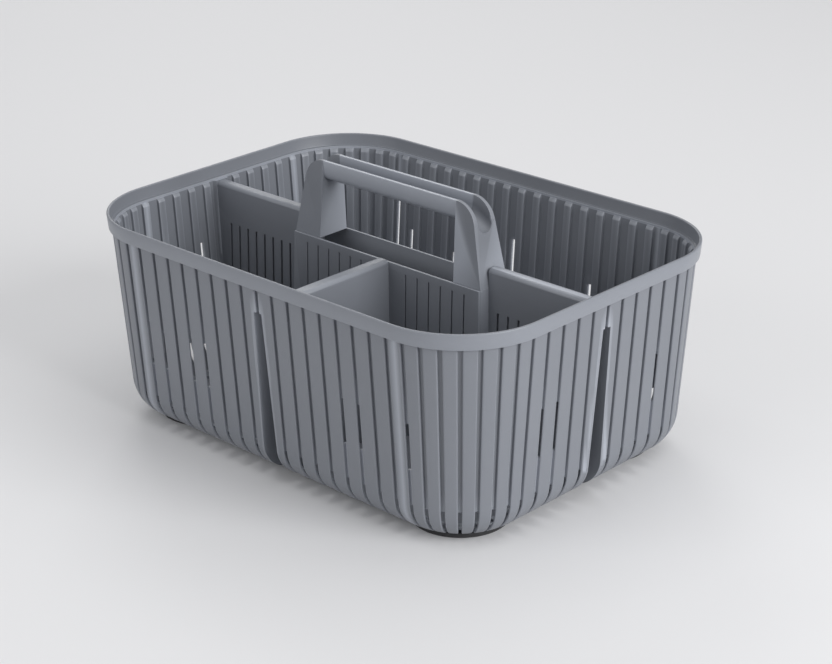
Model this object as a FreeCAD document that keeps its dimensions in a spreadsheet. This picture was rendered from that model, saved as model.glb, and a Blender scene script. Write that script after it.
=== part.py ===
import FreeCAD, Part
import math
import os

import Sketcher

# Cleaning caddy: an injection-moulded carrier with three compartments, a fixed
# carrying handle over a narrow open well, and four rubber feet. The moulding is
# built zone by zone, each zone a solid that meets its neighbours face to face.
# Frame: millimetres, +X along the long side, +Z up, origin on the ground under
# the middle of the caddy.

SIZES = {
    "caddy_length": 400,
    "caddy_width": 292,
    "corner_radius": 68,
    "body_height": 160.5,
    "foot_height": 3.5,
    "foot_radius": 35,
    "sheet": 1.8,
    "rim_height": 11.5,
    "lip_thickness": 2.4,
    "rim_flare": 1,
    "rim_round": 0.9,
    "wall_inset": 3.4,
    "wall_draft": 4,
    "groove_width": 3.6,
    "groove_depth": 2.4,
    "base_radius": 27.5,
    "long_wall_pitches": 17,
    "end_wall_pitches": 10,
    "corner_pitch_angle": 12,
    "corner_groove_angle": 3.4,
    "corner_web_angle": 1.7,
    "fold_half_width": 5.7,
    "fold_draft": 1.54,
    "fold_round": 3,
    "slot_top_drop": 30,
    "long_divider_drop": 12,
    "cross_divider_drop": 25,
    "well_drop": 26,
    "well_half_length": 93.5,
    "well_half_width": 16,
    "post_top_rise": 34,
    "post_half_width": 14.2,
    "post_top_half_width": 10,
    "post_inner_half_gap": 67.5,
    "post_slope": 0.2,
    "post_wall": 2,
    "post_tab": 8,
    "post_tab_setback": 12,
    "shoulder_radius": 18,
    "grip_half_length": 66.5,
    "grip_depth": 16,
    "grip_wall": 2,
    "grip_round": 6,
    "scoop_rise": 11,
    "scoop_radius": 24,
    "post_cavity_rise": 6,
    "slit_width": 3,
    "rear_slit_width": 3.8,
    "middle_slit_width": 6.6,
    "well_slit_width": 1,
    "divider_slit_width": 1.9,
    "well_slit_drop": 32,
    "divider_slit_drop": 43,
    "low_slit_end_drop": 128,
    "wall_slit_end_drop": 108,
    "corner_slit_drop": 73,
    "well_slit_pitch": 11.35,
    "divider_slit_pitch": 9.6,
    "left_divider_slit_start": 109.3,
    "right_divider_slit_start": 102.7,
}

# Positions of the narrow slits, in pitches of the grooves counted from the middle
# of a wall, with the depth below the rim at which each slit starts and its width.
# A whole number is a slit in a groove and the others are in the rib beside one.
FRONT_SLITS = [(number, drop, "slit_width")
               for number, drop in ((-8, 73), (-7, 78), (-5, 73), (-4, 73), (5, 73), (6, 73))]
RIGHT_SLITS = [(number, 71, "slit_width") for number in (-4, -3, 4)]
LEFT_SLITS = [(number, drop, "slit_width") for number, drop in ((-4, 71), (1.63, 58), (4, 71))]
REAR_SLITS = [(number, drop, "rear_slit_width")
              for number, drop in ((8.35, 50), (7.37, 72), (4.37, 80), (-4.63, 71), (-6.63, 46))]
REAR_SLITS += [(0.29, 54, "middle_slit_width")]
WELL_SLITS = range(2, 8)
DIVIDER_SLITS = 8
CORNER_FLUTES = 8
CUT_MARGIN = 3

doc = FreeCAD.newDocument("cleaning_caddy")
pieces = {}
sheet = doc.addObject("Spreadsheet::Sheet", "Sizes")
for row, (alias, number) in enumerate(SIZES.items(), start=1):
    sheet.set(f"A{row}", alias)
    sheet.set(f"B{row}", str(number))
    sheet.setAlias(f"B{row}", alias)
doc.recompute()

# Derived places, written as expressions on the sheet.
RIM_TOP = "(Sizes.foot_height + Sizes.body_height)"
WALL_TOP = f"({RIM_TOP} - Sizes.rim_height)"
CURVE_TOP = "(Sizes.foot_height + Sizes.base_radius * (1 - sin(Sizes.wall_draft)))"
WALL_DROP = f"({WALL_TOP} - {CURVE_TOP})"
DEPTH = "(Sizes.groove_depth + Sizes.sheet)"
CURVE_INSET = (f"(Sizes.wall_inset + {WALL_DROP} * tan(Sizes.wall_draft)"
               " + Sizes.base_radius * cos(Sizes.wall_draft))")
LONG_STRAIGHT = "(Sizes.caddy_length - 2 * Sizes.corner_radius)"
END_STRAIGHT = "(Sizes.caddy_width - 2 * Sizes.corner_radius)"
LONG_PITCH = f"({LONG_STRAIGHT} / Sizes.long_wall_pitches)"
END_PITCH = f"({END_STRAIGHT} / Sizes.end_wall_pitches)"
HALF_LENGTH = "(Sizes.caddy_length / 2)"
HALF_WIDTH = "(Sizes.caddy_width / 2)"
FLOOR_TOP = "(Sizes.foot_height + Sizes.sheet)"
WELL_TOP = f"({RIM_TOP} - Sizes.well_drop)"
GRIP_TOP = f"({RIM_TOP} + Sizes.post_top_rise)"


def height(drop):
    """Height above the ground of a place this far below the rim's top."""
    return f"({RIM_TOP} - {drop})"


def fold_half(z):
    """Outer half width of a divider's fold at a height."""
    return f"(Sizes.fold_half_width + ({height('Sizes.slot_top_drop')} - {z}) * tan(Sizes.fold_draft))"


FOLD_FOOT = fold_half(CURVE_TOP)


def well_end(z):
    """Distance of the well's end face from the middle at a height."""
    return f"(Sizes.well_half_length + ({WELL_TOP} - {z}) * tan(Sizes.fold_draft))"


def well_side(z):
    """Distance of the well's side face from the middle at a height."""
    return f"(Sizes.well_half_width + ({WELL_TOP} - {z}) * tan(Sizes.fold_draft))"


def wall_line(half, drop, depth):
    """Distance out to a wall's outer face, moved in by a depth, below the wall's top."""
    return (f"({half} - Sizes.wall_inset - ({drop}) * tan(Sizes.wall_draft)"
            f" - ({depth}) / cos(Sizes.wall_draft))")


# Sketches and features.

def new_piece(kind, label):
    """Object of the document that is one of the caddy's pieces, under its own label."""
    piece = doc.addObject(kind, label)
    piece.Label = label
    pieces[label] = piece
    return piece


def new_body(label):
    return new_piece("PartDesign::Body", label)


def origin_feature(body, role):
    return next(item for item in body.Origin.OriginFeatures if item.Role == role)


def arc_edge(start, end, radius, turn):
    """Arc from start to end, counter-clockwise where turn is 1, clockwise where it is -1."""
    chord = end - start
    left = FreeCAD.Vector(-chord.y, chord.x, 0) / chord.Length
    rise = math.sqrt(max(radius ** 2 - (chord.Length / 2) ** 2, 0))
    centre = (start + end) / 2 + left * rise * turn
    first, last = (start, end) if turn > 0 else (end, start)
    angles = [math.atan2(point.y - centre.y, point.x - centre.x) for point in (first, last)]
    if angles[1] < angles[0]:
        angles[1] += 2 * math.pi
    circle = Part.Circle(centre, FreeCAD.Vector(0, 0, 1), radius)
    return Part.ArcOfCircle(circle, *angles)


def add_loop(sketch, points):
    """Closed outline. A point is (x, y), or (x, y, radius, turn) where an arc leaves it."""
    places = [FreeCAD.Vector(sketch.evalExpression(point[0]), sketch.evalExpression(point[1]), 0)
              for point in points]
    edges = []
    for index, point in enumerate(points):
        start, end = places[index], places[(index + 1) % len(points)]
        if len(point) == 2:
            edges.append((sketch.addGeometry(Part.LineSegment(start, end), False), 1, 2))
        else:
            arc = arc_edge(start, end, float(sketch.evalExpression(point[2])), point[3])
            ends = (1, 2) if point[3] > 0 else (2, 1)
            edges.append((sketch.addGeometry(arc, False), *ends))
    for index, point in enumerate(points):
        edge, first, last = edges[index]
        following = edges[(index + 1) % len(edges)]
        sketch.addConstraint(Sketcher.Constraint("Coincident", edge, last, following[0], following[1]))
        for kind, value, expression in (("DistanceX", places[index].x, point[0]),
                                        ("DistanceY", places[index].y, point[1])):
            number = sketch.addConstraint(Sketcher.Constraint(kind, -1, 1, edge, first, value))
            sketch.setExpression(f"Constraints[{number}]", expression)
        if len(point) == 4:
            radius = float(sketch.evalExpression(point[2]))
            number = sketch.addConstraint(Sketcher.Constraint("Radius", edge, radius))
            sketch.setExpression(f"Constraints[{number}]", point[2])


def new_sketch(body, name, role, loops, shift=None, turn=None):
    """Sketch on one of the body's own planes, moved along its normal or turned upright."""
    sketch = body.newObject("Sketcher::SketchObject", name)
    sketch.AttachmentSupport = (origin_feature(body, role), [""])
    sketch.MapMode = "FlatFace"
    if shift:
        sketch.setExpression("AttachmentOffset.Base.z", shift)
    if turn:
        sketch.AttachmentOffset = FreeCAD.Placement(
            FreeCAD.Vector(), FreeCAD.Rotation(FreeCAD.Vector(0, 1, 0), 1))
        sketch.setExpression("AttachmentOffset.Rotation.Angle", turn)
    for points in loops:
        add_loop(sketch, points)
    return sketch


def feature(body, kind, name, sketch, amount, symmetric=True, flipped=False):
    """Pad or Pocket by a length, Revolution or Groove by an angle about the sketch's upright axis."""
    item = body.newObject(f"PartDesign::{kind}", name)
    item.Profile = sketch
    if kind in ("Pad", "Pocket"):
        item.setExpression("Length", amount)
    else:
        item.ReferenceAxis = (sketch, ["V_Axis"])
        item.setExpression("Angle", amount)
    item.Midplane = symmetric
    item.Reversed = flipped
    sketch.Visibility = False
    return item


def repeat_along(body, item, sketch, count, step):
    pattern = body.newObject("PartDesign::LinearPattern", f"{item.Name}_row")
    pattern.Originals = [item]
    pattern.Direction = (sketch, ["N_Axis"])
    pattern.Occurrences = count
    pattern.setExpression("Length", f"{step} * {count - 1}")
    body.Tip = pattern
    return pattern


def repeat_round(body, item, sketch, count):
    pattern = body.newObject("PartDesign::PolarPattern", f"{item.Name}_row")
    pattern.Originals = [item]
    pattern.Axis = (sketch, ["V_Axis"])
    pattern.Occurrences = count
    pattern.setExpression("Angle", f"Sizes.corner_pitch_angle * {count - 1}")
    pattern.Reversed = True
    body.Tip = pattern
    return pattern


def rectangle(left, right, bottom, top):
    return [(left, bottom), (right, bottom), (right, top), (left, top)]


def slit(middle, width, start_drop, end_drop):
    """Narrow upright opening that starts and ends at drops below the rim's top."""
    return rectangle(f"{middle} - {width} / 2", f"{middle} + {width} / 2",
                     height(end_drop), height(start_drop))


def rounded_rectangle(half_x, half_y, radius):
    """Outline of a rectangle with round corners, centred on the origin."""
    x, y, r = f"({half_x})", f"({half_y})", f"({radius})"
    return [(f"{x} - {r}", f"-{y}", r, 1), (x, f"-{y} + {r}"), (x, f"{y} - {r}", r, 1),
            (f"{x} - {r}", y), (f"-{x} + {r}", y, r, 1), (f"-{x}", f"{y} - {r}"),
            (f"-{x}", f"-{y} + {r}", r, 1), (f"-{x} + {r}", f"-{y}")]


# Profiles of the walls and of the curved edge at the base. Each is drawn in an
# upright plane with the distance out from a centre line as its first coordinate.

def band(half, top_drop, bottom_drop, near, far):
    """Slanted strip of a wall between two drops below its top and two depths."""
    def corner(drop, depth):
        return wall_line(half, drop, depth), f"{WALL_TOP} - ({drop})"
    return [corner(top_drop, near), corner(bottom_drop, near),
            corner(bottom_drop, far), corner(top_drop, far)]


def wall_profile(half):
    return band(half, "0", WALL_DROP, "0", DEPTH)


def groove_profile(half):
    return band(half, "Sizes.sheet", f"{WALL_DROP} + {CUT_MARGIN}", f"-{CUT_MARGIN}", "Sizes.groove_depth")


def channel_profile(half):
    return band(half, f"-{CUT_MARGIN}", f"{WALL_DROP} + {CUT_MARGIN}", "Sizes.sheet",
                f"{DEPTH} + {CUT_MARGIN}")


def curve_point(half, radius):
    """Place on an arc about the base curve's centre at the height where the walls end."""
    fall = "Sizes.base_radius * sin(Sizes.wall_draft)"
    return f"{half} - {CURVE_INSET} + sqrt(({radius}) ^ 2 - ({fall}) ^ 2)", CURVE_TOP


def edge_profile(half):
    """Quarter-round shell that carries a wall down into the floor."""
    inner = f"Sizes.base_radius - {DEPTH}"
    centre = f"{half} - {CURVE_INSET}"
    return [(*curve_point(half, "Sizes.base_radius"), "Sizes.base_radius", -1),
            (centre, "Sizes.foot_height"), (centre, f"Sizes.foot_height + {DEPTH}", inner, 1),
            curve_point(half, inner)]


def edge_channel_profile(half):
    """Hollow behind a rib of the base curve, which leaves the rib one sheet thick."""
    outer = "Sizes.base_radius - Sizes.sheet"
    centre = f"{half} - {CURVE_INSET}"
    side, top = curve_point(half, outer)
    return [(side, top, outer, -1), (centre, FLOOR_TOP), (f"{centre} - 1", FLOOR_TOP),
            (f"{centre} - 1", f"{top} + 1"), (side, f"{top} + 1")]


def edge_gap_profile(half):
    """Everything above the floor sheet: it opens the drain gap between two ribs."""
    return rectangle(f"{half} - {CURVE_INSET} - 1", half, FLOOR_TOP, f"{CURVE_TOP} + 1")


# Straight pieces. Each is built facing +X about its own middle and then turned
# to its side of the caddy.

def turn_body(body, angle, x="0", y="0"):
    body.Placement = FreeCAD.Placement(FreeCAD.Vector(), FreeCAD.Rotation(FreeCAD.Vector(0, 0, 1), angle))
    body.setExpression("Placement.Base.x", x)
    body.setExpression("Placement.Base.y", y)


def cut_flutes(body, label, half, pitches, pitch, groove, channel):
    """Rows of grooves from outside and channels from inside. A groove lies on the middle line."""
    count = int(SIZES[pitches])
    grooves = count if count % 2 else count + 1
    channels = count + 1 if count % 2 else count
    channel_width = f"{pitch} - Sizes.groove_width - 2 * Sizes.sheet"
    for name, profile, number, width in (("grooves", groove, grooves, "Sizes.groove_width"),
                                         ("channels", channel, channels, channel_width)):
        start = f"-{pitch} * {(number - 1) / 2}"
        sketch = new_sketch(body, f"{label}_{name}", "XZ_Plane", [profile(half)], shift=start)
        cut = feature(body, "Pocket", f"{label}_{name}_cut", sketch, width)
        repeat_along(body, cut, sketch, number, pitch)


def straight_wall(label, angle, half, pitches, pitch, has_slot, slits):
    body = new_body(label)
    sketch = new_sketch(body, f"{label}_profile", "XZ_Plane", [wall_profile(half)])
    feature(body, "Pad", f"{label}_slab", sketch, f"{pitch} * Sizes.{pitches}")
    cut_flutes(body, label, half, pitches, pitch, groove_profile, channel_profile)
    loops = [slit(f"{number} * {pitch}", f"Sizes.{width}", drop, "Sizes.wall_slit_end_drop")
             for number, drop, width in slits]
    if has_slot:
        loops.append(slot_outline())
    sketch = new_sketch(body, f"{label}_openings", "YZ_Plane", loops)
    feature(body, "Pocket", f"{label}_openings_cut", sketch, "2 * Sizes.caddy_length")
    turn_body(body, angle)


def slot_outline():
    """Tapered slot where a divider's hollow fold comes out through a wall."""
    top, bottom = height("Sizes.slot_top_drop"), CURVE_TOP
    below = f"{bottom} - {CUT_MARGIN}"
    return [(f"-{fold_half(top)}", top), (f"-{FOLD_FOOT}", bottom), (f"-{FOLD_FOOT}", below),
            (FOLD_FOOT, below), (FOLD_FOOT, bottom), (fold_half(top), top)]


def straight_edge(label, angle, half, pitches, pitch, start):
    """Half of a side's curved base edge, from a start near its middle towards local -Y."""
    body = new_body(label)
    sketch = new_sketch(body, f"{label}_profile", "XZ_Plane", [edge_profile(half)], shift=start)
    feature(body, "Pad", f"{label}_shell", sketch, f"{pitch} * Sizes.{pitches} / 2 - {start}",
            symmetric=False)
    cut_flutes(body, label, half, pitches, pitch, edge_gap_profile, edge_channel_profile)
    turn_body(body, angle)
    return body


# Corner pieces. Each turns about an upright axis through the corner's centre,
# from a rib on the long side round to a groove on the end.

def corner_piece(label, kind, angle, x, y):
    half = "Sizes.corner_radius"
    profile, groove, channel = {
        "wall": (wall_profile, groove_profile, channel_profile),
        "edge": (edge_profile, edge_gap_profile, edge_channel_profile)}[kind]
    body = new_body(label)
    sketch = new_sketch(body, f"{label}_profile", "XZ_Plane", [profile(half)])
    feature(body, "Revolution", f"{label}_shell", sketch, "90", symmetric=False, flipped=True)
    channel_angle = "Sizes.corner_pitch_angle - Sizes.corner_groove_angle - 2 * Sizes.corner_web_angle"
    for name, shape, first, width in (
            ("grooves", groove, "-Sizes.corner_pitch_angle / 2", "Sizes.corner_groove_angle"),
            ("channels", channel, None, channel_angle)):
        sketch = new_sketch(body, f"{label}_{name}", "XZ_Plane", [shape(half)], turn=first)
        cut = feature(body, "Groove", f"{label}_{name}_cut", sketch, width)
        repeat_round(body, cut, sketch, CORNER_FLUTES)
    turn_body(body, angle, x, y)
    return body


def mirror_piece(label, source, normal):
    """Copy of a piece on the other side of the caddy."""
    mirror = new_piece("Part::Mirroring", label)
    mirror.Source = source
    mirror.Normal = normal


def cut_corner_slit(label, x, y):
    """Slit through the first groove of a front corner, next to the long side."""
    whole = pieces.pop(label)
    whole.Label = f"{label}_whole"
    tool = doc.addObject("Part::Box", f"{label}_slit")
    tool.setExpression("Length", "Sizes.slit_width")
    tool.setExpression("Width", "Sizes.corner_radius")
    tool.setExpression("Height", "Sizes.wall_slit_end_drop - Sizes.corner_slit_drop")
    turn = "(Sizes.corner_pitch_angle / 2)"
    tool.Placement = FreeCAD.Placement(FreeCAD.Vector(), FreeCAD.Rotation(FreeCAD.Vector(0, 0, 1), 1))
    tool.setExpression("Placement.Rotation.Angle", turn)
    tool.setExpression("Placement.Base.x", f"{x} + Sizes.corner_radius * sin({turn})"
                                           f" - Sizes.slit_width / 2 * cos({turn})")
    tool.setExpression("Placement.Base.y", f"-{y} - Sizes.corner_radius * cos({turn})"
                                           f" - Sizes.slit_width / 2 * sin({turn})")
    tool.setExpression("Placement.Base.z", height("Sizes.wall_slit_end_drop"))
    cut = doc.addObject("Part::Cut", f"{label}_cut")
    cut.Label = label
    cut.Base, cut.Tool = whole, tool
    pieces[label] = cut


def rim_band():
    body = new_body("rim_band")
    foot = rounded_rectangle(f"{HALF_LENGTH} - Sizes.rim_flare", f"{HALF_WIDTH} - Sizes.rim_flare",
                             "Sizes.corner_radius - Sizes.rim_flare")
    sketch = new_sketch(body, "rim_foot", "XY_Plane", [foot], shift=WALL_TOP)
    block = feature(body, "Pad", "rim_block", sketch, "Sizes.rim_height", symmetric=False)
    block.setExpression("TaperAngle", "atan(Sizes.rim_flare / Sizes.rim_height)")
    inset = "Sizes.lip_thickness"
    inside = rounded_rectangle(f"{HALF_LENGTH} - {inset}", f"{HALF_WIDTH} - {inset}",
                               f"Sizes.corner_radius - {inset}")
    sketch = new_sketch(body, "rim_inside", "XY_Plane", [inside], shift=RIM_TOP)
    feature(body, "Pocket", "rim_hollow", sketch, "Sizes.rim_height - Sizes.sheet", symmetric=False)
    inset = "(Sizes.wall_inset + Sizes.sheet)"
    mouth = rounded_rectangle(f"{HALF_LENGTH} - {inset}", f"{HALF_WIDTH} - {inset}",
                              f"Sizes.corner_radius - {inset}")
    sketch = new_sketch(body, "rim_mouth", "XY_Plane", [mouth], shift=RIM_TOP)
    opening = feature(body, "Pocket", "rim_opening", sketch, "2 * Sizes.rim_height", symmetric=False)
    doc.recompute()
    top = SIZES["foot_height"] + SIZES["body_height"]
    names = [f"Edge{number}" for number, edge in enumerate(opening.Shape.Edges, start=1)
             if abs(edge.BoundBox.ZMin - top) < 0.01]
    lip = body.newObject("PartDesign::Fillet", "rim_lip")
    lip.Base = (opening, names)
    lip.setExpression("Radius", "Sizes.rim_round")


def floor_plate(label, points):
    body = new_body(label)
    sketch = new_sketch(body, f"{label}_outline", "XY_Plane", [points], shift="Sizes.foot_height")
    feature(body, "Pad", f"{label}_plate", sketch, "Sizes.sheet", symmetric=False)


# Dividers. Each is a hollow fold, open below, that widens towards the base.

def fold_profile(top_drop):
    """Cross-section of a fold, an upturned U with rounded shoulders and an upright foot."""
    top, bend, foot = height(top_drop), CURVE_TOP, "Sizes.foot_height"
    radius, sheet_size = "Sizes.fold_round", "Sizes.sheet"
    roof = f"({top} - {sheet_size})"
    shoulder = f"({top} - {radius})"
    return [(f"-{FOLD_FOOT}", foot), (f"-{FOLD_FOOT} + {sheet_size}", foot),
            (f"-{FOLD_FOOT} + {sheet_size}", bend), (f"-{fold_half(roof)} + {sheet_size}", roof),
            (f"{fold_half(roof)} - {sheet_size}", roof), (f"{FOLD_FOOT} - {sheet_size}", bend),
            (f"{FOLD_FOOT} - {sheet_size}", foot), (FOLD_FOOT, foot), (FOLD_FOOT, bend),
            (fold_half(shoulder), shoulder, radius, 1), (f"{fold_half(top)} - {radius}", top),
            (f"-{fold_half(top)} + {radius}", top, radius, 1), (f"-{fold_half(shoulder)}", shoulder),
            (f"-{FOLD_FOOT}", bend)]


def outside_profile(half):
    """Everything beyond a wall: past its inside above the slot, past its outside below."""
    slot_top = height("Sizes.slot_top_drop")
    slot_fall = "Sizes.slot_top_drop - Sizes.rim_height"
    far = f"{half} + {CUT_MARGIN}"
    return [(wall_line(half, "-Sizes.rim_height", DEPTH), RIM_TOP),
            (wall_line(half, slot_fall, DEPTH), slot_top),
            (wall_line(half, slot_fall, "0"), slot_top),
            (*curve_point(half, "Sizes.base_radius"), "Sizes.base_radius", -1),
            (f"{half} - {CURVE_INSET}", "Sizes.foot_height"),
            (f"{half} - {CURVE_INSET}", "0"), (far, "0"), (far, RIM_TOP)]


def divider(label, angle, half, top_drop, near, slit_start=None):
    """Fold from the well out to a wall, with a row of slits where it has a start for them."""
    body = new_body(label)
    sketch = new_sketch(body, f"{label}_profile", "YZ_Plane", [fold_profile(top_drop)])
    feature(body, "Pad", f"{label}_fold", sketch, half, symmetric=False)
    top = height(top_drop)
    inside = [("-1", "0"), (near("0"), "0"), (near(top), top), (near(top), RIM_TOP), ("-1", RIM_TOP)]
    sketch = new_sketch(body, f"{label}_ends", "XZ_Plane", [inside, outside_profile(half)])
    feature(body, "Pocket", f"{label}_ends_cut", sketch, "Sizes.caddy_width")
    if slit_start:
        loops = [slit(f"({slit_start} + {number} * Sizes.divider_slit_pitch)",
                      "Sizes.divider_slit_width", "Sizes.divider_slit_drop", "Sizes.low_slit_end_drop")
                 for number in range(DIVIDER_SLITS)]
        sketch = new_sketch(body, f"{label}_slits", "XZ_Plane", loops)
        feature(body, "Pocket", f"{label}_slits_cut", sketch, "Sizes.caddy_width")
    turn_body(body, angle)


# The well under the handle: four drafted walls, open above and below.

def well_wall(label, angle, face, reach, trim, slits):
    """Face is the wall's outside, reach its half length, both by height."""
    body = new_body(label)
    foot, top = "Sizes.foot_height", WELL_TOP
    section = [(face(foot), foot), (face(top), top), (f"{face(top)} - Sizes.sheet", top),
               (f"{face(foot)} - Sizes.sheet", foot)]
    sketch = new_sketch(body, f"{label}_section", "XZ_Plane", [section])
    feature(body, "Pad", f"{label}_plate", sketch, f"2 * ({reach(foot)})")
    loops = [[(f"{sign}({reach(foot)} - {trim})", foot), (f"{sign}({reach(top)} - {trim})", top),
              (f"{sign}({reach(foot)} + {CUT_MARGIN})", top),
              (f"{sign}({reach(foot)} + {CUT_MARGIN})", foot)] for sign in ("", "-")]
    sketch = new_sketch(body, f"{label}_ends", "YZ_Plane", loops)
    feature(body, "Pocket", f"{label}_ends_cut", sketch, "Sizes.caddy_length")
    if slits:
        loops = [slit(f"{sign * number} * Sizes.well_slit_pitch", "Sizes.well_slit_width",
                      "Sizes.well_slit_drop", "Sizes.low_slit_end_drop")
                 for number in slits for sign in (1, -1)]
        sketch = new_sketch(body, f"{label}_slits", "YZ_Plane", loops)
        feature(body, "Pocket", f"{label}_slits_cut", sketch, "Sizes.caddy_length")
    turn_body(body, angle)


# The handle: two hollow posts that stand in the well and a trough-shaped grip.

def post_half(z):
    """Half width of a post at a height, narrowing towards the top."""
    run = "(Sizes.post_half_width - Sizes.post_top_half_width)"
    rise = "(Sizes.well_drop + Sizes.post_top_rise)"
    return f"(Sizes.post_half_width - ({z} - {WELL_TOP}) * {run} / {rise})"


def post_end(z):
    """Distance of a post's slanted end face from the middle at a height."""
    return f"(Sizes.well_half_length - Sizes.post_slope * ({z} - {WELL_TOP}))"


def handle_post(label, angle):
    body = new_body(label)
    tab = f"({WELL_TOP} - Sizes.post_tab)"
    inner, outer = "Sizes.post_inner_half_gap", "Sizes.well_half_length"
    radius, tilt = "Sizes.shoulder_radius", "atan(Sizes.post_slope)"
    bend = f"({GRIP_TOP} - {radius} + {radius} * sin({tilt}))"
    tab_start = f"({inner} + Sizes.post_tab_setback)"
    side = [(tab_start, tab), (f"{outer} - Sizes.sheet", tab), (f"{outer} - Sizes.sheet", WELL_TOP),
            (outer, WELL_TOP), (post_end(bend), bend, radius, 1),
            (f"{post_end(bend)} - {radius} * cos({tilt})", GRIP_TOP),
            ("Sizes.grip_half_length", GRIP_TOP),
            ("Sizes.grip_half_length", f"{GRIP_TOP} - Sizes.grip_depth"), (inner, WELL_TOP),
            (tab_start, WELL_TOP)]
    sketch = new_sketch(body, f"{label}_side", "XZ_Plane", [side])
    feature(body, "Pad", f"{label}_block", sketch, "2 * Sizes.well_half_width")

    far = f"(Sizes.well_half_width + {CUT_MARGIN})"
    faces = [[(f"{sign}({well_side(tab)} - Sizes.sheet)", tab), (f"{sign}{post_half(WELL_TOP)}", WELL_TOP),
              (f"{sign}{post_half(GRIP_TOP)}", GRIP_TOP), (f"{sign}{far}", GRIP_TOP), (f"{sign}{far}", tab)]
             for sign in ("", "-")]
    sketch = new_sketch(body, f"{label}_faces", "YZ_Plane", faces)
    feature(body, "Pocket", f"{label}_draft", sketch, "Sizes.caddy_length")

    roof = height("(-Sizes.post_cavity_rise)")
    left, right = f"{inner} - {CUT_MARGIN}", f"{outer} + {CUT_MARGIN}"
    hollow = [(left, f"{tab} - {CUT_MARGIN}"), (right, f"{tab} - {CUT_MARGIN}"), (right, WELL_TOP),
              (f"{outer} - Sizes.post_wall", WELL_TOP), (f"{post_end(roof)} - Sizes.post_wall", roof),
              (f"{inner} + Sizes.post_wall", roof), (f"{inner} + Sizes.post_wall", WELL_TOP),
              (left, WELL_TOP)]
    sketch = new_sketch(body, f"{label}_hollow", "XZ_Plane", [hollow])
    feature(body, "Pocket", f"{label}_hollow_cut", sketch, f"2 * ({post_half(roof)} - Sizes.post_wall)")

    floor = f"({GRIP_TOP} - Sizes.grip_depth + Sizes.grip_wall)"
    start, scoop = "Sizes.grip_half_length", "Sizes.scoop_radius"
    end = height("(-Sizes.scoop_rise)")
    reach = f"sqrt({scoop} ^ 2 - ({end} - {floor} + {scoop}) ^ 2)"
    trough = [(f"{start} - {CUT_MARGIN}", floor), (start, floor, scoop, -1), (f"{start} + {reach}", end),
              (right, end), (right, f"{GRIP_TOP} + {CUT_MARGIN}"),
              (f"{start} - {CUT_MARGIN}", f"{GRIP_TOP} + {CUT_MARGIN}")]
    sketch = new_sketch(body, f"{label}_trough", "XZ_Plane", [trough])
    feature(body, "Pocket", f"{label}_trough_cut", sketch,
            "2 * (Sizes.post_top_half_width - Sizes.grip_wall)")
    turn_body(body, angle)


def grip_profile():
    top, bottom = GRIP_TOP, f"{GRIP_TOP} - Sizes.grip_depth"
    radius, wall = "Sizes.grip_round", "Sizes.grip_wall"
    half = "Sizes.post_top_half_width"
    inner = f"({radius} - {wall})"
    return [(f"-{half}", top), (f"-{half}", f"{bottom} + {radius}", radius, 1),
            (f"-{half} + {radius}", bottom), (f"{half} - {radius}", bottom, radius, 1),
            (half, f"{bottom} + {radius}"), (half, top), (f"{half} - {wall}", top),
            (f"{half} - {wall}", f"{bottom} + {radius}", inner, -1),
            (f"{half} - {radius}", f"{bottom} + {wall}"),
            (f"-{half} + {radius}", f"{bottom} + {wall}", inner, -1),
            (f"-{half} + {wall}", f"{bottom} + {radius}"), (f"-{half} + {wall}", top)]


def handle_grip():
    body = new_body("handle_grip")
    sketch = new_sketch(body, "grip_profile", "YZ_Plane", [grip_profile()])
    feature(body, "Pad", "grip_trough", sketch, "2 * Sizes.grip_half_length")


def rubber_foot(label, x, y):
    foot = new_piece("Part::Cylinder", label)
    foot.setExpression("Radius", "Sizes.foot_radius")
    foot.setExpression("Height", "Sizes.foot_height")
    foot.setExpression("Placement.Base.x", x)
    foot.setExpression("Placement.Base.y", y)


# The whole caddy.

LEFT_TO_RIGHT = FreeCAD.Vector(1, 0, 0)
FRONT_TO_REAR = FreeCAD.Vector(0, 1, 0)


def floor_plates():
    """Three compartment floors, cut back for the well and for the open folds."""
    x, y = f"({HALF_LENGTH} - {CURVE_INSET})", f"({HALF_WIDTH} - {CURVE_INSET})"
    radius = f"(Sizes.corner_radius - {CURVE_INSET})"
    fold, well_x, well_y = (f"({reach('Sizes.foot_height')})" for reach in (fold_half, well_end, well_side))
    floor_plate("rear_floor", [
        (f"-{x}", fold), (f"-{well_x}", fold), (f"-{well_x}", well_y), (well_x, well_y), (well_x, fold),
        (x, fold), (x, f"{y} - {radius}", radius, 1), (f"{x} - {radius}", y),
        (f"-{x} + {radius}", y, radius, 1), (f"-{x}", f"{y} - {radius}")])
    for label, sign, turn in (("front_left_floor", "-", 1), ("front_right_floor", "", -1)):
        floor_plate(label, [
            (f"{sign}{x}", f"-{fold}"), (f"{sign}{x}", f"-{y} + {radius}", radius, turn),
            (f"{sign}({x} - {radius})", f"-{y}"), (f"{sign}{fold}", f"-{y}"),
            (f"{sign}{fold}", f"-{well_y}"), (f"{sign}{well_x}", f"-{well_y}"),
            (f"{sign}{well_x}", f"-{fold}")])


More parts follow.
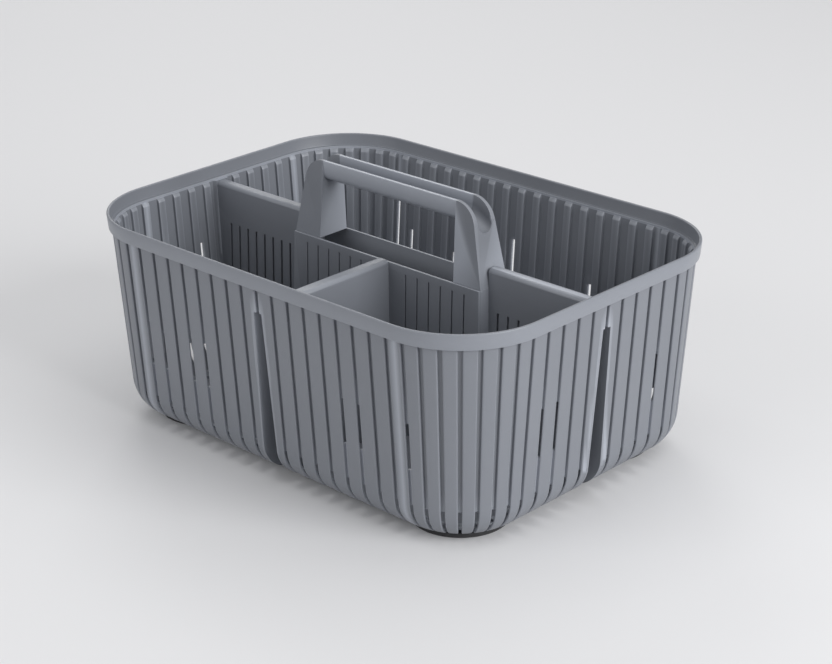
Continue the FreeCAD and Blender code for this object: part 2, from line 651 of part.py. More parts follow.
def straight_sides():
    long_side = (HALF_WIDTH, "long_wall_pitches", LONG_PITCH)
    end_side = (HALF_LENGTH, "end_wall_pitches", END_PITCH)
    straight_wall("front_wall", -90, *long_side, True, FRONT_SLITS)
    straight_wall("rear_wall", 90, *long_side, False, REAR_SLITS)
    straight_wall("right_end_wall", 0, *end_side, True, RIGHT_SLITS)
    straight_wall("left_end_wall", 180, *end_side, True, LEFT_SLITS)
    rear = straight_edge("base_edge_rear_right", 90, *long_side, "0")
    mirror_piece("base_edge_rear_left", rear, LEFT_TO_RIGHT)
    front = straight_edge("base_edge_front_left", -90, *long_side, FOLD_FOOT)
    mirror_piece("base_edge_front_right", front, LEFT_TO_RIGHT)
    right = straight_edge("base_edge_right_front", 0, *end_side, FOLD_FOOT)
    mirror_piece("base_edge_right_rear", right, FRONT_TO_REAR)
    left = straight_edge("base_edge_left_rear", 180, *end_side, FOLD_FOOT)
    mirror_piece("base_edge_left_front", left, FRONT_TO_REAR)


def corners():
    x, y = f"({HALF_LENGTH} - Sizes.corner_radius)", f"({HALF_WIDTH} - Sizes.corner_radius)"
    for kind in ("wall", "edge"):
        for row, angle, place in (("front", -90, (f"-{x}", f"-{y}")), ("rear", 90, (x, y))):
            built, mirrored = ("left", "right") if row == "front" else ("right", "left")
            piece = corner_piece(f"corner_{kind}_{row}_{built}", kind, angle, *place)
            mirror_piece(f"corner_{kind}_{row}_{mirrored}", piece, LEFT_TO_RIGHT)
    cut_corner_slit("corner_wall_front_right", x, y)


def feet():
    x, y = f"({HALF_LENGTH} - Sizes.corner_radius)", f"({HALF_WIDTH} - Sizes.corner_radius)"
    for row, y_sign in (("front", "-"), ("rear", "")):
        for side, x_sign in (("left", "-"), ("right", "")):
            rubber_foot(f"foot_{row}_{side}", f"{x_sign}{x}", f"{y_sign}{y}")


def dividers_and_well():
    divider("long_divider_right", 0, HALF_LENGTH, "Sizes.long_divider_drop", well_end,
            "Sizes.right_divider_slit_start")
    divider("long_divider_left", 180, HALF_LENGTH, "Sizes.long_divider_drop", well_end,
            "Sizes.left_divider_slit_start")
    divider("cross_divider", -90, HALF_WIDTH, "Sizes.cross_divider_drop", well_side)
    well_wall("well_front_wall", -90, well_side, well_end, "0", WELL_SLITS)
    well_wall("well_rear_wall", 90, well_side, well_end, "0", ())
    well_wall("well_right_end", 0, well_end, well_side, "Sizes.sheet", ())
    well_wall("well_left_end", 180, well_end, well_side, "Sizes.sheet", ())


rim_band()
straight_sides()
corners()
feet()
floor_plates()
dividers_and_well()
handle_post("handle_post_right", 0)
handle_post("handle_post_left", 180)
handle_grip()
doc.recompute()

for item in doc.Objects:
    if "Invalid" in item.State or "Error" in item.State:
        raise RuntimeError(f"{item.Label} failed: {item.State}")
for piece in pieces.values():
    if piece.Shape.isNull() or not piece.Shape.isValid() or len(piece.Shape.Solids) != 1:
        raise RuntimeError(f"{piece.Label} is not one valid solid")

os.makedirs("parts", exist_ok=True)
for label, piece in pieces.items():
    piece.Shape.exportStep(os.path.join("parts", f"{label}.step"))
print(len(pieces), "pieces written")
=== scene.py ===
import math

import bmesh
import bpy
from mathutils import Matrix, Vector


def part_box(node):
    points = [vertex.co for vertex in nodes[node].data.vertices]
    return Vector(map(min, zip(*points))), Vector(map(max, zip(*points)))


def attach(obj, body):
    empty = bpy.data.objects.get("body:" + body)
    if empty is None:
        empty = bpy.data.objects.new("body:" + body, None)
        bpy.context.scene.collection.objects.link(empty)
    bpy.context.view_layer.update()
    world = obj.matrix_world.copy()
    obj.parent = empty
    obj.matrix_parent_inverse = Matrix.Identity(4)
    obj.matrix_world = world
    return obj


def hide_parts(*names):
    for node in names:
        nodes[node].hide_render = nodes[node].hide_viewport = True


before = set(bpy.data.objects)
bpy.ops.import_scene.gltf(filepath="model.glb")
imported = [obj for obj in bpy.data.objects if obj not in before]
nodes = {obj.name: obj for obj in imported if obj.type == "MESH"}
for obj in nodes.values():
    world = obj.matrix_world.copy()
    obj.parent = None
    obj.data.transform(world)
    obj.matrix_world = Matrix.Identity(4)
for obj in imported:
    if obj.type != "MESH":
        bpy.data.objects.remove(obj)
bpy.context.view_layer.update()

# Measures of the caddy, in millimetres, read from the frame.
MM = 0.001
RIM_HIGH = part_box("rim_band")[1]
HALF_LENGTH, HALF_WIDTH, RIM_TOP = (round(part / MM, 3) for part in RIM_HIGH)


# Camera, floor and light

CAMERA_AZIMUTH = math.radians(44.2)
CAMERA_ELEVATION = math.radians(23.0)
CAMERA_ROLL = math.radians(-0.76)
CAMERA_TARGET = Vector((0.1458, -0.1626, RIM_TOP * MM))
CAMERA_DISTANCE = 1.3411
CAMERA_LENS_MM = 91.3
CAMERA_SENSOR_MM = 36
CAMERA_SHIFT = (0.0346, 0.0068)
CAMERA_CLIP = (0.05, 50)

# Lights: place and size in metres, and power in watts. All aim at the caddy's middle.
LIGHT_AIM = (0, 0, 0.1)
LIGHTS = (("key_right", (2.7, 0.2, 1.2), (1.9, 1.7), 70),
          ("top_soft", (0.1, 0.6, 2.8), (3.6, 3.6), 30),
          ("fill_front", (-0.9, -2.6, 1.2), (2.6, 1.8), 23),
          ("edge_back_left", (-2.0, 1.5, 1.7), (1.2, 1.0), 12))
SKY_COLOUR = (0.93, 0.935, 0.95, 1)
SKY_STRENGTH = 0.41

FLOOR_REACH = 8
FLOOR_COLOUR = (0.74, 0.74, 0.75, 1)
FLOOR_ROUGHNESS = 0.65


def add_camera():
    data = bpy.data.cameras.new("camera")
    camera = bpy.data.objects.new("camera", data)
    bpy.context.scene.collection.objects.link(camera)
    back = Vector((math.sin(CAMERA_AZIMUTH) * math.cos(CAMERA_ELEVATION),
                   -math.cos(CAMERA_AZIMUTH) * math.cos(CAMERA_ELEVATION),
                   math.sin(CAMERA_ELEVATION)))
    camera.location = CAMERA_TARGET + back * CAMERA_DISTANCE
    camera.rotation_mode = "QUATERNION"
    roll = Matrix.Rotation(CAMERA_ROLL, 4, "Z")
    aim = (-back).to_track_quat("-Z", "Y").to_matrix().to_4x4()
    camera.rotation_quaternion = (aim @ roll).to_quaternion()
    data.lens = CAMERA_LENS_MM
    data.sensor_width = CAMERA_SENSOR_MM
    data.shift_x, data.shift_y = CAMERA_SHIFT
    data.clip_start, data.clip_end = CAMERA_CLIP
    bpy.context.scene.camera = camera


def area_light(name, place, size, watts):
    data = bpy.data.lights.new(name, "AREA")
    data.shape = "RECTANGLE"
    data.size, data.size_y = size
    data.energy = watts
    light = bpy.data.objects.new(name, data)
    light.location = Vector(place)
    light.rotation_mode = "QUATERNION"
    light.rotation_quaternion = (Vector(LIGHT_AIM) - Vector(place)).to_track_quat("-Z", "Y")
    bpy.context.scene.collection.objects.link(light)


def add_light():
    for light in LIGHTS:
        area_light(*light)
    world = bpy.data.worlds.new("studio")
    world.use_nodes = True
    background = world.node_tree.nodes["Background"]
    background.inputs["Color"].default_value = SKY_COLOUR
    background.inputs["Strength"].default_value = SKY_STRENGTH
    bpy.context.scene.world = world
    bpy.context.scene.view_settings.view_transform = "Standard"


def add_floor():
    mesh = bpy.data.meshes.new("studio_floor")
    corners = [(x * FLOOR_REACH, y * FLOOR_REACH, 0)
               for x, y in ((-1, -1), (1, -1), (1, 1), (-1, 1))]
    mesh.from_pydata(corners, [], [(0, 1, 2, 3)])
    floor = bpy.data.objects.new("studio_floor", mesh)
    bpy.context.scene.collection.objects.link(floor)
    material = bpy.data.materials.new("studio_floor")
    material.use_nodes = True
    shader = material.node_tree.nodes["Principled BSDF"]
    shader.inputs["Base Color"].default_value = FLOOR_COLOUR
    shader.inputs["Roughness"].default_value = FLOOR_ROUGHNESS
    mesh.materials.append(material)


# Materials

DRIFT_SCALE, DRIFT_DETAIL = 9, 4
SPECKLE_DETAIL, SPECKLE_SHARE = 2, 0.35
# Pointiness edge lightening: partly scuff wear, partly a painted highlight along rounded edges.
EDGE_FROM, EDGE_TO, EDGE_STRENGTH, EDGE_LIGHTENING = 0.52, 0.62, 0.9, 2.1
ROUGHNESS_SPREAD = 0.06
GRAIN_DEPTH = 0.0002


def link_nodes(material, *pairs):
    for source, target in pairs:
        material.node_tree.links.new(source, target)


def moulded_plastic(name, dark, light, roughness, grain_scale, bump):
    """Satin moulded plastic: faint colour drift, fine spark-eroded grain, edges lightened as scuff wear
    and a painted highlight.
    """
    material = bpy.data.materials.new(name)
    material.use_nodes = True
    tree = material.node_tree
    new = tree.nodes.new
    shader = tree.nodes["Principled BSDF"]
    place = new("ShaderNodeTexCoord")

    drift = new("ShaderNodeTexNoise")
    drift.inputs["Scale"].default_value = DRIFT_SCALE
    drift.inputs["Detail"].default_value = DRIFT_DETAIL
    speckle = new("ShaderNodeTexNoise")
    speckle.inputs["Scale"].default_value = grain_scale
    speckle.inputs["Detail"].default_value = SPECKLE_DETAIL
    blend = new("ShaderNodeMath")
    blend.operation = "MULTIPLY_ADD"
    blend.inputs[1].default_value = SPECKLE_SHARE
    colour = new("ShaderNodeMix")
    colour.data_type = "RGBA"
    colour.inputs["A"].default_value = (*dark, 1)
    colour.inputs["B"].default_value = (*light, 1)
    link_nodes(material,
               (place.outputs["Object"], drift.inputs["Vector"]),
               (place.outputs["Object"], speckle.inputs["Vector"]),
               (speckle.outputs["Fac"], blend.inputs[0]),
               (drift.outputs["Fac"], blend.inputs[2]),
               (blend.outputs["Value"], colour.inputs["Factor"]))

    # Sharp, rounded edges found by pointiness are lightened: scuff wear plus a painted highlight.
    geometry = new("ShaderNodeNewGeometry")
    edges = new("ShaderNodeMapRange")
    edges.inputs["From Min"].default_value = EDGE_FROM
    edges.inputs["From Max"].default_value = EDGE_TO
    edges.inputs["To Max"].default_value = EDGE_STRENGTH
    scuff_and_highlight = new("ShaderNodeMix")
    scuff_and_highlight.data_type = "RGBA"
    scuff_and_highlight.inputs["B"].default_value = (*[min(1, EDGE_LIGHTENING * part) for part in light], 1)
    link_nodes(material,
               (geometry.outputs["Pointiness"], edges.inputs["Value"]),
               (edges.outputs["Result"], scuff_and_highlight.inputs["Factor"]),
               (colour.outputs["Result"], scuff_and_highlight.inputs["A"]),
               (scuff_and_highlight.outputs["Result"], shader.inputs["Base Color"]))

    gloss = new("ShaderNodeMapRange")
    gloss.inputs["To Min"].default_value = roughness - ROUGHNESS_SPREAD
    gloss.inputs["To Max"].default_value = roughness + ROUGHNESS_SPREAD
    grain = new("ShaderNodeBump")
    grain.inputs["Strength"].default_value = bump
    grain.inputs["Distance"].default_value = GRAIN_DEPTH
    link_nodes(material,
               (drift.outputs["Fac"], gloss.inputs["Value"]),
               (gloss.outputs["Result"], shader.inputs["Roughness"]),
               (speckle.outputs["Fac"], grain.inputs["Height"]),
               (grain.outputs["Normal"], shader.inputs["Normal"]))
    return material


grey_plastic = moulded_plastic("grey_plastic", (0.162, 0.173, 0.197), (0.196, 0.208, 0.234),
                               0.40, 1400, 0.25)
foot_rubber = moulded_plastic("foot_rubber", (0.012, 0.012, 0.013), (0.022, 0.022, 0.024),
                              0.75, 900, 0.4)


# Measures of the moulding, in millimetres

SHEET = 1.8
WALL_INSET = 3.4
WALL_DRAFT = math.radians(4)
RIM_HEIGHT = 11.5
FOOT_HEIGHT = 3.5
BASE_RADIUS = 27.5
CORNER_RADIUS = 68
LONG_PITCHES, END_PITCHES, CORNER_GROOVES = 17, 10, 8
CORNER_PITCH = 12
CORNER_SECTION_RADIUS = 61
GROOVE_HALF = 1.5
GROOVE_DEPTH = 2.4
GROOVE_FOOT_ROUND = 0.1
RIB_ROUND = 1.0
RIDGE_ROUND = 0.8
ROUND_STEPS = 4
RIDGE_FOOT_STEP = 1.6
CURVE_STEPS, FLOOR_STEPS = 9, 3
LEVEL_SLACK = 0.01
SLIT_SLACK = 0.02
COLUMN_SLACK = 0.001
SHARP_ANGLE = math.radians(38)
WELD_DISTANCE = 1e-6

# How the flutes start under the rim: drop below the wall's top, part of the
# groove's depth outside, part of the ridge's depth inside.
FLUTE_TOPS = ((0, 0, 0.25), (0.5, 0, 0.45), (0.55, 0.75, 0.5), (2.6, 1, 1), (3.2, 1, 1))

WALL_TOP = RIM_TOP - RIM_HEIGHT
CURVE_TOP = FOOT_HEIGHT + BASE_RADIUS * (1 - math.sin(WALL_DRAFT))
CURVE_INSET = (WALL_INSET + (WALL_TOP - CURVE_TOP) * math.tan(WALL_DRAFT)
               + BASE_RADIUS * math.cos(WALL_DRAFT))
GAP_END_ANGLE = math.asin(1 - SHEET / BASE_RADIUS)

SLOT_DROP = 30
SLOT_TOP = RIM_TOP - SLOT_DROP
FOLD_HALF_WIDTH = 5.7
FOLD_DRAFT = math.radians(1.54)

# Slits: groove number from the middle of the side, drop of its top below the
# rim's top, and the offsets from that groove's middle that it spans. All end at
# the same drop.
RIB_EDGE, RIB_MIDDLE = 3.1, 7.8
IN_GROOVE = (-GROOVE_HALF, GROOVE_HALF)
BESIDE, BEFORE = (RIB_EDGE, RIB_MIDDLE), (-RIB_MIDDLE, -RIB_EDGE)
ACROSS = (GROOVE_HALF, RIB_MIDDLE)
SLIT_END_DROP = 108
SLIT_END = RIM_TOP - SLIT_END_DROP
FRONT_SLITS = [(-8, 73, IN_GROOVE), (-7, 78, IN_GROOVE), (-5, 73, IN_GROOVE),
               (-4, 73, IN_GROOVE), (5, 73, IN_GROOVE), (6, 73, IN_GROOVE)]
REAR_SLITS = [(8, 50, BESIDE), (7, 72, BESIDE), (4, 80, BESIDE),
              (0, 54, ACROSS), (-5, 71, BESIDE), (-8, 55, BESIDE)]
RIGHT_SLITS = [(-4, 71, IN_GROOVE), (-3, 71, IN_GROOVE), (4, 71, IN_GROOVE)]
LEFT_SLITS = [(-4, 71, IN_GROOVE), (2, 58, BEFORE), (4, 71, IN_GROOVE)]
CORNER_SLITS = [(0, 73, IN_GROOVE)]


def tidy_mesh(mesh, merge):
    """Make the faces point outwards, and join doubled places where asked."""
    work = bmesh.new()
    work.from_mesh(mesh)
    if merge:
        bmesh.ops.remove_doubles(work, verts=work.verts, dist=WELD_DISTANCE)
        loose = [vertex for vertex in work.verts if not vertex.link_faces]
        bmesh.ops.delete(work, geom=loose, context="VERTS")
    bmesh.ops.recalc_face_normals(work, faces=work.faces)
    work.to_mesh(mesh)
    work.free()


def new_object(name, vertices, faces, merge):
    """Mesh object from places in millimetres."""
    mesh = bpy.data.meshes.new(name)
    mesh.from_pydata([tuple(MM * part for part in vertex) for vertex in vertices], [], faces)
    tidy_mesh(mesh, merge)
    piece = bpy.data.objects.new(name, mesh)
    bpy.context.scene.collection.objects.link(piece)
    return piece


def finish_piece(piece, replaced):
    """Give a grey piece its material, and let it stand for the CAD nodes it replaces."""
    piece.data.materials.clear()
    piece.data.materials.append(grey_plastic)
    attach(piece, "root")
    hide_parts(*replaced)


def add_piece(name, vertices, faces, replaced):
    piece = new_object(name, vertices, faces, True)
    piece.data.shade_smooth()
    piece.data.set_sharp_from_angle(angle=SHARP_ANGLE)
    finish_piece(piece, replaced)


# Fluted shell: each side and each corner is a grid of outer and inner places,
# with cells left out where a gap, a slit or a divider's slot goes through.

def half_flute():
    """From a groove's middle to the flat of a rib: outer place and depth, inner place and depth."""
    points = [(0, GROOVE_DEPTH, 0, GROOVE_DEPTH + SHEET),
              (GROOVE_HALF - GROOVE_FOOT_ROUND, GROOVE_DEPTH,
               GROOVE_HALF + SHEET - RIDGE_ROUND, GROOVE_DEPTH + SHEET),
              (GROOVE_HALF, GROOVE_DEPTH - GROOVE_FOOT_ROUND,
               GROOVE_HALF + SHEET - RIDGE_ROUND / 4, GROOVE_DEPTH + SHEET - RIDGE_ROUND / 4),
              (GROOVE_HALF, (GROOVE_DEPTH + RIB_ROUND) / 2,
               GROOVE_HALF + SHEET, GROOVE_DEPTH + SHEET - RIDGE_ROUND)]
    for step in range(ROUND_STEPS + 1):
        angle = step * math.pi / 2 / ROUND_STEPS
        across, up = math.cos(angle), math.sin(angle)
        points.append((GROOVE_HALF + RIB_ROUND * (1 - across), RIB_ROUND * (1 - up),
                       GROOVE_HALF + SHEET + RIDGE_ROUND * (1 - across),
                       SHEET + RIDGE_ROUND * (1 - up)))
    points.append((RIB_EDGE, 0, RIB_EDGE + RIDGE_FOOT_STEP, SHEET))
    return points


def flute_columns(first, last, pitch, has_slot, start, end):
    """Columns as (groove, sign, outer offset, outer depth, inner offset, inner depth)."""
    columns = []
    section = half_flute()
    for groove in range(first, last + 1):
        for sign in (-1, 1):
            ordered = reversed(section) if sign < 0 else section[1:]
            for outer, outer_depth, inner, inner_depth in ordered:
                columns.append((groove, sign, outer, outer_depth, inner, inner_depth))
            if has_slot and groove == 0 and sign < 0:
                columns.insert(len(columns) - len(section), (0, sign, None, 0, None, SHEET))
            if has_slot and groove == 0 and sign > 0:
                columns.append((0, sign, None, 0, None, SHEET))
        columns.append((groove, 1, pitch / 2, 0, pitch / 2, SHEET))
    columns.insert(0, (first, -1, pitch / 2, 0, pitch / 2, SHEET))
    start, end = start - COLUMN_SLACK, end + COLUMN_SLACK
    return [column for column in columns
            if start <= column[0] * pitch + column[1] * (column[2] or 0) <= end]


def fold_half(z):
    """Half width of a divider's slot at a height."""
    return FOLD_HALF_WIDTH + (SLOT_TOP - min(max(z, CURVE_TOP), SLOT_TOP)) * math.tan(FOLD_DRAFT)


def flute_top(level):
    """Parts of the groove's and the ridge's depth that are there at a height."""
    for drop, outer_part, inner_part in FLUTE_TOPS:
        if level > WALL_TOP - drop - LEVEL_SLACK:
            return outer_part, inner_part
    return 1, 1


def shell_rows(slits, has_slot):
    """Rows from the rim down to the floor: inset from the outline, height, angle of the normal."""
    levels = {WALL_TOP - drop for drop, _, _ in FLUTE_TOPS}
    levels.update({(WALL_TOP + CURVE_TOP) / 2, SLIT_END})
    levels.update(RIM_TOP - drop for _, drop, _ in slits)
    if has_slot:
        levels.add(SLOT_TOP)
    rows = [(WALL_INSET + (WALL_TOP - level) * math.tan(WALL_DRAFT), level, WALL_DRAFT)
            for level in sorted(levels, reverse=True)]
    angles = []
    for begin, finish, steps in ((WALL_DRAFT, GAP_END_ANGLE, CURVE_STEPS),
                                 (GAP_END_ANGLE, math.pi / 2, FLOOR_STEPS)):
        angles += [begin + (finish - begin) * step / steps for step in range(steps)]
    angles.append(math.pi / 2)
    return rows + [(CURVE_INSET - BASE_RADIUS * math.cos(angle),
                    FOOT_HEIGHT + BASE_RADIUS * (1 - math.sin(angle)), angle) for angle in angles]


def fluted_shell(name, place, columns, pitch, slits, has_slot, replaced):
    """Grid of rows and columns, put in space by place(along, inset, level)."""
    rows = shell_rows(slits, has_slot)
    vertices = []
    for inset, level, angle in rows:
        outer_part, inner_part = flute_top(level)
        for groove, sign, outer, outer_depth, inner, inner_depth in columns:
            edge = fold_half(level)
            outer_depth *= outer_part
            inner_depth = SHEET + (inner_depth - SHEET) * inner_part
            if has_slot and groove == 0 and (inner is None or inner < edge):
                inner_depth = GROOVE_DEPTH + SHEET
            for offset, depth in ((outer, outer_depth), (inner, inner_depth)):
                along = groove * pitch + sign * (edge if offset is None else offset)
                vertices.append(place(along, inset + depth * math.cos(angle),
                                      level + depth * math.sin(angle)))

    width = len(columns)

    def corner(row, column, side):
        return 2 * (row * width + column) + side

    def is_open(row, column):
        if not (0 <= row < len(rows) - 1 and 0 <= column < width - 1):
            return True
        top, bottom = rows[row][1], rows[row + 1][1]
        left, right = columns[column], columns[column + 1]
        if has_slot and top <= SLOT_TOP + LEVEL_SLACK and left[0] == 0 and right[0] == 0:
            if left[2] is None and left[1] < 0 or right[2] is None and right[1] > 0:
                return True
            if max(left[2] or 0, right[2] or 0) <= RIB_EDGE:
                return True
        if left[2] is None or right[2] is None:
            return False
        ends = [groove * pitch + sign * offset for groove, sign, offset, *_ in (left, right)]
        reach = max(abs(end - left[0] * pitch) for end in ends)
        on_curve = top <= CURVE_TOP + LEVEL_SLACK and bottom >= FOOT_HEIGHT + SHEET - LEVEL_SLACK
        if on_curve and reach <= GROOVE_HALF + LEVEL_SLACK:
            return True
        return any(ends[0] >= groove * pitch + low - SLIT_SLACK
                   and ends[1] <= groove * pitch + high + SLIT_SLACK
                   and top <= RIM_TOP - drop + LEVEL_SLACK and bottom >= SLIT_END - LEVEL_SLACK
                   for groove, drop, (low, high) in slits)

    faces = []
    for row in range(len(rows) - 1):
        for column in range(width - 1):
            if is_open(row, column):
                continue
            ring = [(row, column), (row, column + 1), (row + 1, column + 1), (row + 1, column)]
            faces.append([corner(*spot, 0) for spot in ring])
            faces.append([corner(*spot, 1) for spot in reversed(ring)])
            beside = [(row - 1, column), (row, column + 1), (row + 1, column), (row, column - 1)]
            for index, neighbour in enumerate(beside):
                if is_open(*neighbour):
                    one, two = ring[index], ring[(index + 1) % 4]
                    faces.append([corner(*two, 0), corner(*one, 0),
                                  corner(*one, 1), corner(*two, 1)])
    add_piece(name, vertices, faces, replaced)


def straight_side(name, turn, half, straight, pitches, slits, has_slot, replaced):
    pitch = straight / pitches
    across, up = math.cos(turn), math.sin(turn)

    def place(along, inset, level):
        out = half - inset
        return out * across - along * up, out * up + along * across, level

    last = pitches // 2
    columns = flute_columns(-last, last, pitch, has_slot, -straight / 2, straight / 2)
    fluted_shell(name, place, columns, pitch, slits, has_slot, replaced)


def shell_corner(name, x_sign, y_sign, slits, replaced):
    centre_x, centre_y = HALF_LENGTH - CORNER_RADIUS, HALF_WIDTH - CORNER_RADIUS
    pitch = math.radians(CORNER_PITCH) * CORNER_SECTION_RADIUS

    def place(along, inset, level):
        angle = along / CORNER_SECTION_RADIUS + math.radians(CORNER_PITCH) / 2
        radius = CORNER_RADIUS - inset
        return (x_sign * (centre_x + radius * math.sin(angle)),
                y_sign * (centre_y + radius * math.cos(angle)), level)

    last = CORNER_GROOVES - 1
    columns = flute_columns(0, last, pitch, False, -pitch / 2, last * pitch)
    fluted_shell(name, place, columns, pitch, slits, False, replaced)


def add_shell():
    long_straight = 2 * (HALF_LENGTH - CORNER_RADIUS)
    end_straight = 2 * (HALF_WIDTH - CORNER_RADIUS)
    quarter = math.pi / 2
    straight_side("front_side", -quarter, HALF_WIDTH, long_straight, LONG_PITCHES,
                  FRONT_SLITS, True, ["front_wall", "base_edge_front_left", "base_edge_front_right"])
    straight_side("rear_side", quarter, HALF_WIDTH, long_straight, LONG_PITCHES,
                  REAR_SLITS, False, ["rear_wall", "base_edge_rear_left", "base_edge_rear_right"])
    straight_side("right_side", 0, HALF_LENGTH, end_straight, END_PITCHES,
                  RIGHT_SLITS, True, ["right_end_wall", "base_edge_right_front", "base_edge_right_rear"])
    straight_side("left_side", 2 * quarter, HALF_LENGTH, end_straight, END_PITCHES,
                  LEFT_SLITS, True, ["left_end_wall", "base_edge_left_front", "base_edge_left_rear"])
    for row, y_sign in (("front", -1), ("rear", 1)):
        for side, x_sign in (("left", -1), ("right", 1)):
            slits = CORNER_SLITS if (row, side) == ("front", "right") else []
            shell_corner(f"corner_{row}_{side}", x_sign, y_sign, slits,
                         [f"corner_wall_{row}_{side}", f"corner_edge_{row}_{side}"])


# Rim: one section carried round the caddy's outline

RIM_LIP = 2.4
RIM_FLARE = 1.0
RIM_EDGE_ROUND = 0.9
RIM_ROUND_STEPS = 4
RIM_LEDGE = 5.2
RIM_UNDERSIDE = 1.1
CORNER_STEPS = 24


def rim_section():
    """Closed outline of the rim as inset from the caddy's outline and height."""
    top, low = RIM_TOP, WALL_TOP
    section = [(RIM_FLARE + 1.2, low), (RIM_FLARE + 0.3, low), (RIM_FLARE, low + 0.4)]
    turns = [step * math.pi / 2 / RIM_ROUND_STEPS for step in range(RIM_ROUND_STEPS + 1)]
    section += [(RIM_EDGE_ROUND * (1 - math.cos(angle)) + 0.05,
                 top - RIM_EDGE_ROUND * (1 - math.sin(angle))) for angle in turns]
    section += [(RIM_LIP - RIM_EDGE_ROUND * (1 - math.cos(angle)),
                 top - RIM_EDGE_ROUND * (1 - math.sin(angle))) for angle in reversed(turns)]
    section += [(RIM_LIP + 0.3, low + SHEET + 0.8), (RIM_LIP + 0.5, low + SHEET + 0.25),
                (RIM_LIP + 1.1, low + SHEET), (RIM_LEDGE - 0.4, low + SHEET),
                (RIM_LEDGE, low + SHEET - 0.4), (RIM_LEDGE, low), (WALL_INSET, low),
                (WALL_INSET, low + RIM_UNDERSIDE), (RIM_FLARE + 1.2, low + RIM_UNDERSIDE)]
    return section


def add_rim():
    section = rim_section()
    stations = []
    for quadrant, (x_sign, y_sign) in enumerate(((1, 1), (-1, 1), (-1, -1), (1, -1))):
        for step in range(CORNER_STEPS + 1):
            angle = (quadrant + step / CORNER_STEPS) * math.pi / 2
            stations.append((x_sign * (HALF_LENGTH - CORNER_RADIUS),
                             y_sign * (HALF_WIDTH - CORNER_RADIUS),
                             math.cos(angle), math.sin(angle)))
    vertices = []
    for x, y, across, up in stations:
        for inset, level in section:
            radius = CORNER_RADIUS - inset
            vertices.append((x + radius * across, y + radius * up, level))
    count = len(section)
    faces = []
    for station in range(len(stations)):
        following = (station + 1) % len(stations)
        for point in range(count):
            after = (point + 1) % count
            faces.append([station * count + point, following * count + point,
                          following * count + after, station * count + after])
    add_piece("rim", vertices, faces, ["rim_band"])


# Handle: two hollow posts and a trough-shaped grip

GRIP_RISE = 34
WELL_DROP = 26
GRIP_DEPTH = 16
GRIP_HALF = 66.5
POST_FOOT = 67.5
POST_END = 93.5
POST_SLOPE = 0.2
POST_HALF, POST_TOP_HALF = 14.2, 10
SHOULDER_RADIUS = 18
SCOOP_RUN, SCOOP_DROP, SCOOP_STEPS = 19, 8.4, 12
TROUGH_HALF = 7.3
TROUGH_FLOOR = 2
GRIP_ROUND = 6.5
POST_WALL = 2
CAVITY_RISE = 4
CUT_MARGIN = 5
LIP_DROP, LIP_STEP = 0.8, 0.2
FLAT_FACE_AREA = 2e-4
POST_BEVEL, NODE_BEVEL = 0.0009, 0.0005

GRIP_TOP = RIM_TOP + GRIP_RISE
WELL_TOP = RIM_TOP - WELL_DROP


def arc_points(centre, radius, start, finish, steps):
    """Points on an arc, with its angles in degrees."""
    angles = [math.radians(start + (finish - start) * step / steps) for step in range(steps + 1)]
    return [(centre[0] + radius * math.cos(angle), centre[1] + radius * math.sin(angle))
            for angle in angles]


def prism(name, rings):
    """Closed mesh object through rings of the same number of places, in millimetres."""
    count = len(rings[0])
    vertices = [place for ring in rings for place in ring]
    faces = [list(range(count))[::-1], list(range(count * (len(rings) - 1), count * len(rings)))]
    for ring in range(len(rings) - 1):
        for index in range(count):
            after = (index + 1) % count
            faces.append([ring * count + index, ring * count + after,
                          (ring + 1) * count + after, (ring + 1) * count + index])
    return new_object(name, vertices, faces, False)


def cut_out(piece, *cutters):
    """Take the cutters' shapes out of a piece for good, and drop the cutters."""
    for cutter in cutters:
        cut = piece.modifiers.new(cutter.name, "BOOLEAN")
        cut.operation = "DIFFERENCE"
        cut.solver = "EXACT"
        cut.object = cutter
    bpy.context.view_layer.update()
    whole = piece.evaluated_get(bpy.context.evaluated_depsgraph_get())
    piece_mesh = bpy.data.meshes.new_from_object(whole)
    piece.modifiers.clear()
    piece.data = piece_mesh
    for cutter in cutters:
        bpy.data.objects.remove(cutter)


def round_edges(piece, width, segments):
    bevel = piece.modifiers.new("edge_rounding", "BEVEL")
    bevel.width = width
    bevel.segments = segments
    bevel.limit_method = "ANGLE"
    bevel.angle_limit = math.radians(30)


def post_half(z):
    """Half width of a post at a height."""
    return POST_HALF - (z - WELL_TOP) * (POST_HALF - POST_TOP_HALF) / (GRIP_TOP - WELL_TOP)


def post_end(z):
    """How far a post reaches from the caddy's middle at a height."""
    return POST_END - POST_SLOPE * (z - WELL_TOP)


def trough_rings(side):
    """Rings of the trough's cutter: a U that leaves the grip and dips out of the post's end."""
    floor = GRIP_TOP - GRIP_DEPTH + TROUGH_FLOOR
    stations = [(GRIP_HALF - CUT_MARGIN, floor)]
    for step in range(SCOOP_STEPS + 1):
        part = step / SCOOP_STEPS
        dip = part * part * (3 - 2 * part)
        stations.append((GRIP_HALF + SCOOP_RUN * part, floor - SCOOP_DROP * dip))
    stations.append((POST_END + CUT_MARGIN, floor - SCOOP_DROP))
    rings = []
    for x, low in stations:
        section = [(-TROUGH_HALF, GRIP_TOP + CUT_MARGIN)]
        section += arc_points((0, low + TROUGH_HALF), TROUGH_HALF, 180, 360, 16)
        section.append((TROUGH_HALF, GRIP_TOP + CUT_MARGIN))
        rings.append([(side * x, y, z) for y, z in section])
    return rings


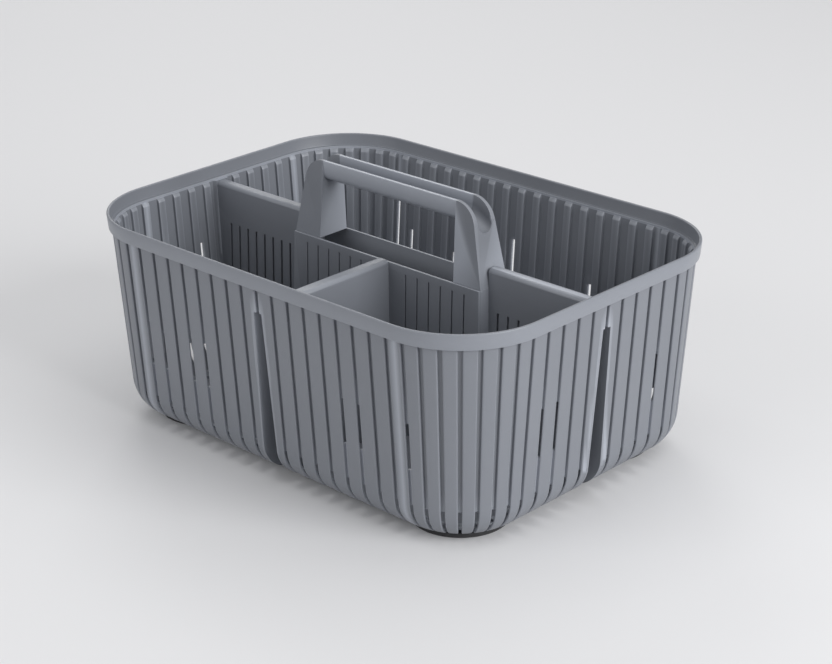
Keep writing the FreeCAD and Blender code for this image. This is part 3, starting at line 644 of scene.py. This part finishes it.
def add_post(name, side):
    tilt = math.atan(POST_SLOPE)
    bend = GRIP_TOP - SHOULDER_RADIUS + SHOULDER_RADIUS * math.sin(tilt)
    centre = (post_end(bend) - SHOULDER_RADIUS * math.cos(tilt), GRIP_TOP - SHOULDER_RADIUS)
    outline = [(POST_FOOT, WELL_TOP), (GRIP_HALF, GRIP_TOP - GRIP_DEPTH), (GRIP_HALF, GRIP_TOP)]
    outline += arc_points(centre, SHOULDER_RADIUS, 90, math.degrees(tilt), 14)
    outline.append((POST_END, WELL_TOP))
    rings = [[(side * x, sign * post_half(z), z) for x, z in outline] for sign in (-1, 1)]
    post = prism(name, rings)
    trough = prism(f"{name}_trough", trough_rings(side))
    hollow_rings = []
    for z in (WELL_TOP - CUT_MARGIN, WELL_TOP, RIM_TOP + CAVITY_RISE):
        near = POST_FOOT + POST_WALL
        far = post_end(z) - POST_WALL
        half = post_half(z) - POST_WALL
        hollow_rings.append([(side * x, y, z) for x, y in
                             ((near, -half), (far, -half), (far, half), (near, half))])
    cut_out(post, trough, prism(f"{name}_hollow", hollow_rings))
    finish_piece(post, [name.replace("visual_", "")])
    for face in post.data.polygons:
        face.use_smooth = face.area < FLAT_FACE_AREA
    round_edges(post, POST_BEVEL, 3)


def add_grip():
    low = GRIP_TOP - GRIP_DEPTH
    half = POST_TOP_HALF
    foot = half - 0.6
    section = [(-half + LIP_STEP, GRIP_TOP - LIP_STEP), (-half, GRIP_TOP - LIP_DROP)]
    section += arc_points((-foot + GRIP_ROUND, low + GRIP_ROUND), GRIP_ROUND, 180, 270, 8)
    section += arc_points((foot - GRIP_ROUND, low + GRIP_ROUND), GRIP_ROUND, 270, 360, 8)
    section += [(half, GRIP_TOP - LIP_DROP), (half - LIP_STEP, GRIP_TOP - LIP_STEP),
                (half - LIP_DROP, GRIP_TOP), (TROUGH_HALF + 0.7, GRIP_TOP),
                (TROUGH_HALF + 0.15, GRIP_TOP - LIP_STEP), (TROUGH_HALF, GRIP_TOP - LIP_DROP)]
    section += arc_points((0, low + TROUGH_FLOOR + TROUGH_HALF), TROUGH_HALF, 360, 180, 20)
    section += [(-TROUGH_HALF, GRIP_TOP - LIP_DROP), (-TROUGH_HALF - 0.15, GRIP_TOP - LIP_STEP),
                (-TROUGH_HALF - 0.7, GRIP_TOP), (-half + LIP_DROP, GRIP_TOP)]
    rings = [[(x, y, z) for y, z in section] for x in (-GRIP_HALF, GRIP_HALF)]
    grip = prism("visual_handle_grip", rings)
    finish_piece(grip, ["handle_grip"])
    grip.data.shade_smooth()
    grip.data.set_sharp_from_angle(angle=math.radians(50))


def add_handle():
    add_post("visual_handle_post_right", 1)
    add_post("visual_handle_post_left", -1)
    add_grip()


# Pieces that keep their CAD shape

KEPT_NODE_STARTS = ("foot_", "long_divider", "cross_divider", "well_")


def dress_node(name):
    piece = nodes[name]
    material = foot_rubber if name.startswith("foot_") else grey_plastic
    piece.data.materials.clear()
    piece.data.materials.append(material)
    weld = piece.modifiers.new("weld", "WELD")
    weld.merge_threshold = WELD_DISTANCE
    round_edges(piece, NODE_BEVEL, 2)
    piece.modifiers["edge_rounding"].harden_normals = True


add_shell()
add_rim()
add_handle()
for name in nodes:
    if name.startswith(KEPT_NODE_STARTS) or name.endswith("_floor"):
        dress_node(name)

add_camera()
add_floor()
add_light()
